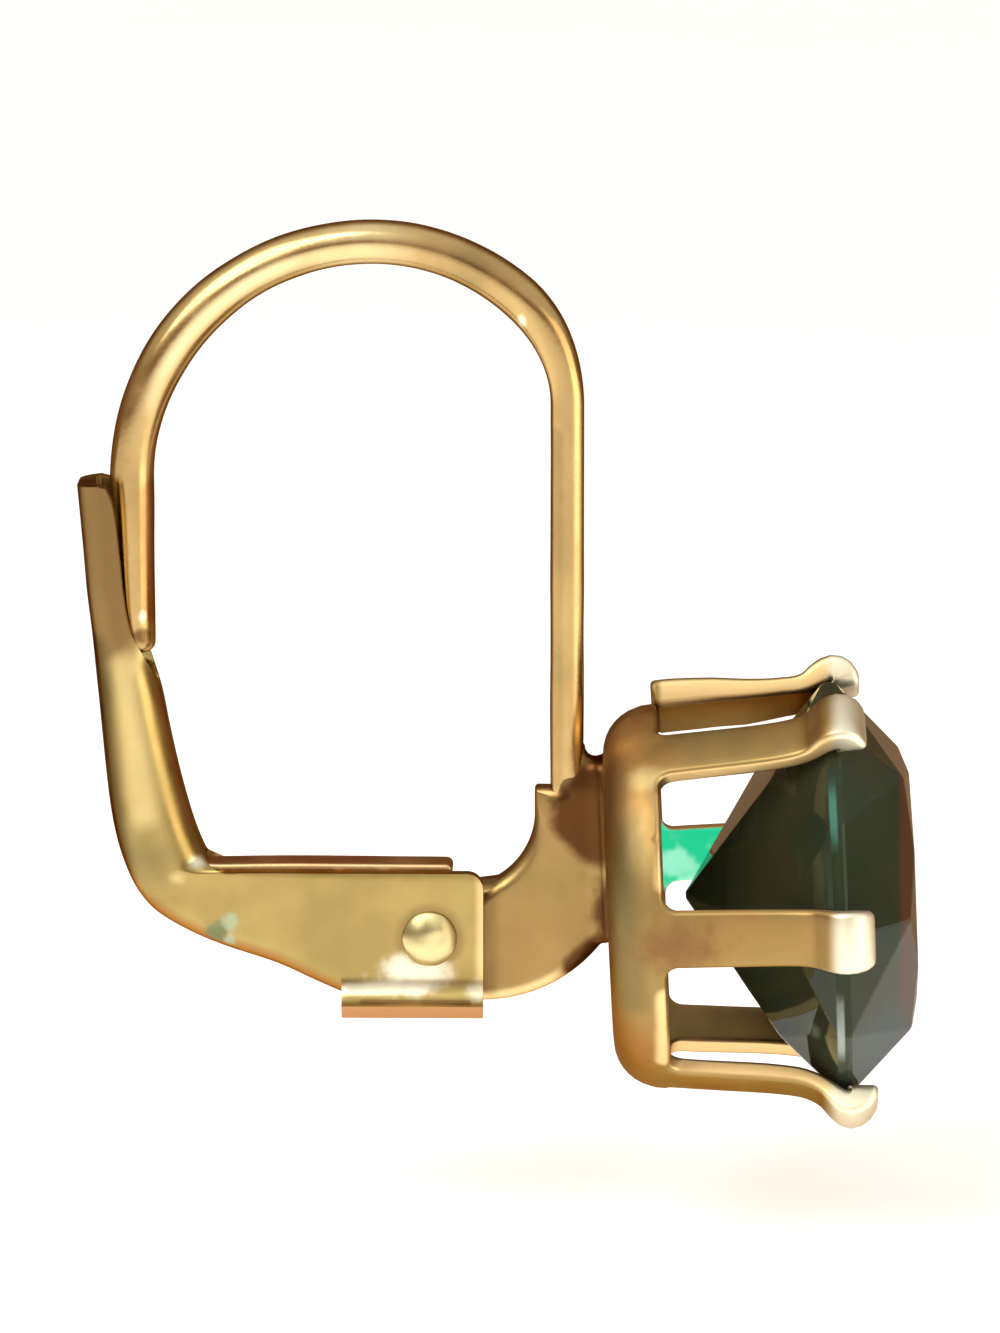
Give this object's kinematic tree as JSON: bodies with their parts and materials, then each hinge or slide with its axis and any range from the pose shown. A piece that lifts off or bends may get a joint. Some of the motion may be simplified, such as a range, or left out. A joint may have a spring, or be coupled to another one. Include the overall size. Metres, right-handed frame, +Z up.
{
  "type": "leverback earring",
  "caption": "Leverback earring with a hinged lever, a bent ear wire and a round faceted dark green stone in a prong basket.",
  "frame": {"origin": "underside of the ear wire's arch on the middle plane, where the wire hangs in the ear lobe", "axes": "+X to the front, where the stone faces; +Z up; Y across the middle plane, which mirrors the part"},
  "size_m": [0.0168, 0.0094, 0.0179],
  "materials": {
    "gold": "polished gold tone, lightly worn and brushed",
    "green_stone": "polished facets, very dark bottle green"
  },
  "bodies": {
    "hook": {"hook_setting": "gold", "stone": "green_stone"},
    "lever": {"lever": "gold", "rivet": "gold"}
  },
  "joints": [
    {"name": "lever_hinge", "type": "hinge", "parent": "hook", "child": "lever", "pos_m": [0.00112, 0, -0.01353], "axis": [0, -1, 0], "range_deg": [0, 70]}
  ]
}
